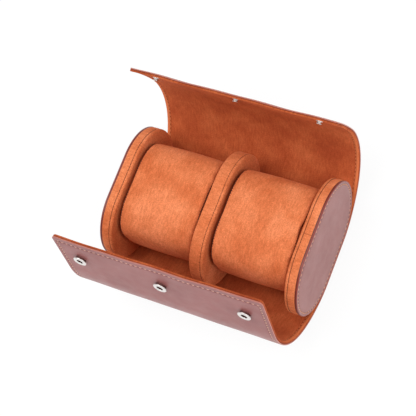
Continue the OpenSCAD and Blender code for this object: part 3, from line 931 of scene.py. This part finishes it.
def puff(obj):
    """Fills the pad: a cloth simulation blows its cover up, no point by more than PAD_SWELL."""
    start = mesh_points(obj.data)
    cloth = obj.modifiers.new("cloth", "CLOTH")
    cloth.settings.quality = 5
    cloth.settings.use_pressure = True
    cloth.settings.uniform_pressure_force = PAD_PRESSURE
    cloth.settings.effector_weights.gravity = 0
    cloth.point_cache.frame_start = 1
    cloth.point_cache.frame_end = PAD_FRAMES
    scene = bpy.context.scene
    for number in range(1, PAD_FRAMES + 1):
        scene.frame_set(number)
    apply_modifiers(obj)
    scene.frame_set(1)
    moved = mesh_points(obj.data) - start
    far = np.linalg.norm(moved, axis=1, keepdims=True)
    set_points(obj.data, start + moved * np.minimum(1.0, PAD_SWELL / np.maximum(far, 1e-9)))


def fit_box(mesh, low, high):
    """Stretches the mesh to fill the box."""
    points = mesh_points(mesh)
    least, most = points.min(axis=0), points.max(axis=0)
    low, high = np.array(low), np.array(high)
    set_points(mesh, low + (points - least) / (most - least) * (high - low))


def flatten_end(mesh):
    """Presses the pad's right end flat, as it lies against the next slab."""
    points = mesh_points(mesh)
    end = points[:, 0].max()
    nearness = np.clip((points[:, 0] - end + PAD_FLATTEN) / PAD_FLATTEN, 0.0, 1.0)
    points[:, 0] += (end - points[:, 0]) * nearness**2 * (3 - 2 * nearness) * PAD_FLATNESS
    set_points(mesh, points)


def crease(mesh, centre, size, creases):
    """Presses soft creases into the pad."""
    points = mesh_points(mesh)
    normals = np.zeros(len(mesh.vertices) * 3)
    mesh.vertices.foreach_get("normal", normals)
    local = points - np.array(centre)
    angle = np.arctan2(local[:, 2] / size.z, local[:, 1] / size.y)
    depth = np.zeros(len(points))
    for x, lean, width, deep, middle, spread in creases:
        turned = np.angle(np.exp(1j * (angle - middle)))
        across = (local[:, 0] - (x + lean * turned) * MM) / (width * MM)
        depth += deep * MM * np.exp(-(across**2) - (turned / spread) ** 2)
    set_points(mesh, points - normals.reshape(-1, 3) * depth[:, None])


# Each crease: its place along the pad, lean, width and depth in mm, and the middle and spread of its angle
# round the pad in radians
CREASES = {
    "left": ((-15, 2, 3.5, 0.35, 1.9, 0.8), (10, -3, 5, 0.3, 2.3, 0.7), (16, 1, 2.2, 0.3, 1.5, 0.6)),
    "right": ((18.5, 1.5, 0.9, 0.55, 2.3, 0.35), (13, 2, 3, 0.35, 1.9, 0.8), (-14, -2, 4, 0.3, 2.2, 0.7)),
}
# Each rim seam: the pad's end, how far in it lies, how many degrees up from the end's face it looks, how deep
# its stitches and its cord sink in, and how far the cord lies beside the stitches
RIM_SEAMS = (
    (-1, 1.0 * MM, 45, 0.05 * MM, 0.1 * MM, 0.9 * MM),
    (1, 3.5 * MM, 0, 0.15 * MM, 0.4 * MM, 0.0),
)
RIM_CORD_RADIUS = 0.6 * MM
RIM_RAY = 20 * MM


def rim_seams(cushion, centre, size):
    """The overcast seam round both ends of the pad, laid on its final surface: over the rim at its left end,
    and on the end's face at its right."""
    mesh = cushion.data
    tree = BVHTree.FromPolygons([v.co for v in mesh.vertices], [p.vertices for p in mesh.polygons])
    angles = np.linspace(0, 2 * math.pi, 361)
    parts = []
    for side, inset, lift, stitches_sunk, cord_sunk, beside in RIM_SEAMS:
        ring = np.array([section(size.y - inset, size.z - inset, a) for a in angles])
        lengths = running_length(ring)
        cosine, sine = math.cos(math.radians(lift)), math.sin(math.radians(lift))

        def surface(u, across):
            """The pad's surface at a place of the row, and the ways out and across."""
            y, z = (np.interp(u % lengths[-1], lengths, ring[:, k]) for k in (0, 1))
            outward = Vector((0, y, z)).normalized()
            ray = Vector((side * cosine, 0, 0)) + outward * sine
            over = Vector((side * sine, 0, 0)) - outward * cosine
            inner = centre + Vector((side * (size.x - 1.0 * MM), y, z)) + over * across
            return tree.ray_cast(inner + ray * RIM_RAY, -ray)[0], ray, over

        def place(u, across, up):
            point, ray, _ = surface(u, across)
            return point + ray * (up - stitches_sunk)

        path = [(u, 0.0) for u in np.linspace(0, lengths[-1], 300)]
        parts.append(stitches_along(path, place, RIM_STITCH, side))
        cord = []
        cord_section = arc((0, -cord_sunk), RIM_CORD_RADIUS, 0, 300, 5)
        for u in np.linspace(0, lengths[-1], 160, endpoint=False):
            point, ray, over = surface(u, beside)
            cord.append([point + over * c * side + ray * d for c, d in cord_section])
        parts.append(loft(cord, closed=True))
    # The dark thread here is partly painted shade of the gaps at the pad's ends
    return join(f"{cushion.name}_seams", parts, THREAD_DARK_AND_SHADE)


def make_cushion(label):
    """One lift-out cushion: its cover blown up by a cloth simulation, then creased and sewn."""
    low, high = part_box(f"cushion_cover_{label}")
    centre = (low + high) / 2
    size = (high - low) / 2
    vertices, faces = cushion_form(centre, size - Vector((PAD_SHRINK,) * 3))
    cushion = new_object(f"cushion_{label}", vertices, faces, SUEDE_CUSHION, smooth_angle=180)
    remesher = cushion.modifiers.new("remesh", "REMESH")
    remesher.mode = "VOXEL"
    remesher.voxel_size = PAD_VOXEL
    apply_modifiers(cushion)
    puff(cushion)
    smoother = cushion.modifiers.new("smoother", "SUBSURF")
    smoother.levels = smoother.render_levels = 1
    apply_modifiers(cushion)
    fit_box(cushion.data, low, high + Vector((PAD_LEAN, 0, 0)))
    flatten_end(cushion.data)
    crease(cushion.data, centre, size, CREASES[label])
    cushion.data.shade_smooth()
    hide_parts(f"cushion_cover_{label}")
    for piece in (cushion, rim_seams(cushion, centre, size)):
        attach(piece, f"cushion_{label}")


for cushion_side in ("left", "right"):
    make_cushion(cushion_side)


# ---- snaps

# Turned profiles as (radius, height) in mm: a socket's plate, its collar in the hole, and a stud
SOCKET_PLATE = (
    (2.4, 1.3), (4.0, 1.35), (4.75, 1.5), (5.0, 1.8), (5.0, 2.05), (4.85, 2.28), (4.5, 2.44),
    (4.1, 2.46), (3.6, 2.36), (3.2, 2.33), (3.0, 2.42), (2.75, 2.48), (2.52, 2.42), (2.4, 2.2),
)
SOCKET_COLLAR = (
    (0.2, -0.5), (3.9, -0.5), (3.9, 0.1), (3.7, 0.3), (3.5, 1.0), (3.6, 1.42),
    (2.45, 1.45), (2.42, 2.1), (2.3, 2.12), (2.3, 0.3), (0.2, 0.25),
)
STUD = (
    (0.2, -0.5), (2.5, -0.5), (2.55, 0.05), (2.45, 0.2), (1.9, 0.3), (1.55, 0.5), (1.45, 0.9),
    (1.65, 1.2), (1.92, 1.5), (1.94, 1.75), (1.7, 2.05), (1.2, 2.18), (0.2, 2.2),
)
TURNED_AROUND = 36


def turned(profile, flap, x, s, surface, outward, closed):
    """A turned piece on a flap, with its profile from its foot's middle to its top's or, closed, round a
    ring. It stands on the depth surface, and outward is 1 where more depth is up for it."""
    origin = flap.even_point(x, s, surface)
    up = (flap.even_point(x, s, surface + outward * MM) - origin).normalized()
    right = Vector((1, 0, 0))
    ahead = up.cross(right)
    circle = [right * math.cos(a) + ahead * math.sin(a) for a in full_turn(TURNED_AROUND)]
    rings = [[origin + way * radius * MM + up * height * MM for way in circle] for radius, height in profile]
    return loft(rings, closed)


def make_snaps():
    """The sockets on the front flap's leather and the studs on the lid's lining."""
    socket = (FRONT, FRONT.length - SOCKET_FROM_EDGE, WRAP_T, 1)
    stud = (LID, LID.length - STUD_FROM_EDGE, 0, -1)
    for name, profile, (flap, s, surface, outward), closed, finish, node, body in (
        ("snap_socket_plates", SOCKET_PLATE, socket, True, NICKEL, "snap_sockets", "front_6"),
        # The collars carry the painted shadow under the plates and a painted reflection of the leather
        ("snap_socket_collars", SOCKET_COLLAR, socket, False, NICKEL_PAINTED_SHADE, "snap_sockets", "front_6"),
        ("snap_stud_heads", STUD, stud, False, NICKEL, "snap_studs", "lid_5"),
    ):
        parts = [turned(profile, flap, x, s, surface, outward, closed) for x in SNAP_PLACES]
        piece = join(name, parts, finish)
        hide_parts(node)
        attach(piece, body)


make_snaps()

# The hidden nodes keep their CAD meshes
for hidden_nodes, hidden_finish in (
    (("socket_rivets", "stud_rivets"), NICKEL),
    (("cushion_foam_left", "cushion_foam_right"), FOAM),
    (("back_board", "end_core_left", "end_core_right", "divider_core"), BOARD),
):
    for hidden_node in hidden_nodes:
        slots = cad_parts[hidden_node].data.materials
        slots.clear()
        slots.append(hidden_finish)


# ---- floor, light and camera


# The floor lies this far below the roll, and is seen as nearly pure white
FLOOR_HALF = 6.0
FLOOR_DROP = 0.2 * MM
FLOOR_WHITENESS = 0.9


def make_floor():
    m = Nodes("floor")
    white = m.add("ShaderNodeEmission", {"Color": grey(1), "Strength": 1.0}).outputs[0]
    matte = m.add("ShaderNodeBsdfDiffuse", {"Color": grey(0.92)}).outputs[0]
    to_camera = m.add("ShaderNodeLightPath").outputs["Is Camera Ray"]
    seen = m.add("ShaderNodeMath", {0: to_camera, 1: FLOOR_WHITENESS}, operation="MULTIPLY").outputs[0]
    mixed = m.add("ShaderNodeMixShader", {0: seen, 1: matte, 2: white}).outputs[0]
    m.tree.links.new(mixed, m.tree.nodes["Material Output"].inputs["Surface"])
    signs = ((-1, -1), (1, -1), (1, 1), (-1, 1))
    corners = [(x * FLOOR_HALF, y * FLOOR_HALF, 0) for x, y in signs]
    floor = new_object("floor", corners, [(0, 1, 2, 3)], m.material)
    floor.location.z = -FLOOR_DROP


# The studio's light: the white surround, and each lamp's name, place, size and power
AMBIENT = 0.6
LAMPS = (("key", (-0.4, -0.22, 1.55), 1.1, 17), ("fill", (1.25, -0.3, 1.15), 1.6, 15))
LAMP_TARGET = (0, 0, 0.04)


def area_light(name, place, size, power):
    data = bpy.data.lights.new(name, "AREA")
    data.shape = "DISK"
    data.size = size
    data.energy = power
    lamp = link_object(name, data)
    lamp.location = place
    lamp.rotation_mode = "QUATERNION"
    lamp.rotation_quaternion = (Vector(LAMP_TARGET) - Vector(place)).to_track_quat("-Z", "Y")


def make_world():
    """A white surround, which lights the roll less brightly than it shows."""
    world = bpy.data.worlds.new("studio")
    bpy.context.scene.world = world
    w = Nodes("studio", world, "Background")
    path = w.add("ShaderNodeLightPath").outputs
    shown = w.add("ShaderNodeMath", {0: path["Is Camera Ray"], 1: path["Is Glossy Ray"]}, operation="MAXIMUM")
    strength = w.add("ShaderNodeMix", {"Factor": shown.outputs[0], "A": AMBIENT, "B": 1.0}, data_type="FLOAT")
    w.set(Color=grey(1))
    w.link(strength.outputs["Result"], "Strength")


# The camera of the photograph, fitted to the outlines of the caps, flaps and snaps
CAMERA_PLACE = Vector((0.36337, -0.20154, 0.93208))
CAMERA_FORWARD = Vector((-0.38180, 0.20652, -0.90088))
CAMERA_RIGHT = Vector((0.88464, 0.36393, -0.29149))
CAMERA_FOCAL_PX = 1345.2
PHOTO_PX = 416
SENSOR_MM = 36.0


def make_camera():
    data = bpy.data.cameras.new("camera")
    data.sensor_width = SENSOR_MM
    data.lens = CAMERA_FOCAL_PX / PHOTO_PX * SENSOR_MM
    data.clip_start = 0.05
    data.clip_end = 50
    camera = link_object("camera", data)
    back = -CAMERA_FORWARD.normalized()
    right = (CAMERA_RIGHT - CAMERA_RIGHT.dot(back) * back).normalized()
    up = back.cross(right)
    camera.matrix_world = Matrix.Translation(CAMERA_PLACE) @ Matrix((right, up, back)).transposed().to_4x4()
    bpy.context.scene.camera = camera


make_floor()
make_world()
for lamp_settings in LAMPS:
    area_light(*lamp_settings)
make_camera()
bpy.context.scene.view_settings.view_transform = "Standard"
